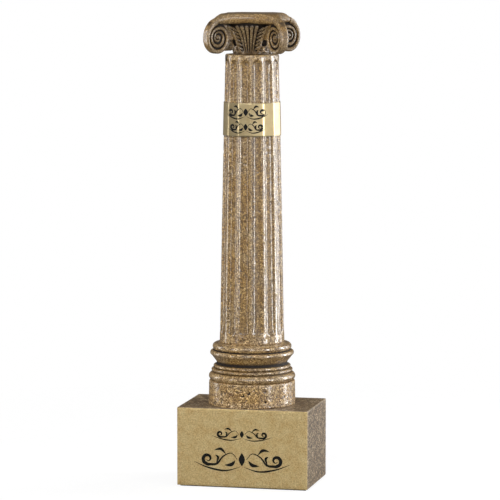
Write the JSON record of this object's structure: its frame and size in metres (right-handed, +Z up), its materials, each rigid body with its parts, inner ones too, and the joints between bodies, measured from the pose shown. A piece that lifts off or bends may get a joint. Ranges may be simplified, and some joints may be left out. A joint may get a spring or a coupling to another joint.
{
  "type": "column trophy",
  "caption": "Award shaped as a classical column: fluted tapering shaft with a thin gold band, scrolled four-cornered capital, moulded round foot and an oblong block with a gold front plate.",
  "frame": {"origin": "middle of the underside of the base, on the column's axis, where the trophy stands", "axes": "+Z up along the column, -Y out of the engraved front plate, X along the long side of the block"},
  "size_m": [0.0826, 0.056, 0.2915],
  "materials": {
    "felt": "dense short-pile self-adhesive felt, dark green",
    "block_stone": "cast stone with fine speckled grain, satin, sealed",
    "column_stone": "cast stone, gritty, antiqued dark in the hollows, sealed semi-gloss",
    "adhesive_tape": "thin double-sided foam tape",
    "gold_plate": "satin gold sheet, fine bead-blasted grain, black engraving",
    "gold_band": "satin gold foil, wrapped, soft sheen, black engraving",
    "rod_steel": "zinc-plated threaded steel rod",
    "zinc_hardware": "zinc-plated steel nut and washers",
    "pin_steel": "ground steel dowels",
    "insert_brass": "turned brass threaded insert"
  },
  "bodies": {
    "root": {"felt_pad": "felt", "base_block": "block_stone", "front_plate_tape": "adhesive_tape", "front_plate": "gold_plate", "plinth_drum": "column_stone", "column_moulding": "column_stone", "fluted_shaft": "column_stone", "band_tape": "adhesive_tape", "shaft_band": "gold_band", "capital": "column_stone", "tie_rod": "rod_steel", "capital_insert": "insert_brass", "flat_washer": "zinc_hardware", "lock_washer": "zinc_hardware", "rod_nut": "zinc_hardware", "drum_locating_pin": "pin_steel", "moulding_locating_pin": "pin_steel", "shaft_locating_pin": "pin_steel", "capital_locating_pin": "pin_steel"}
  },
  "joints": []
}
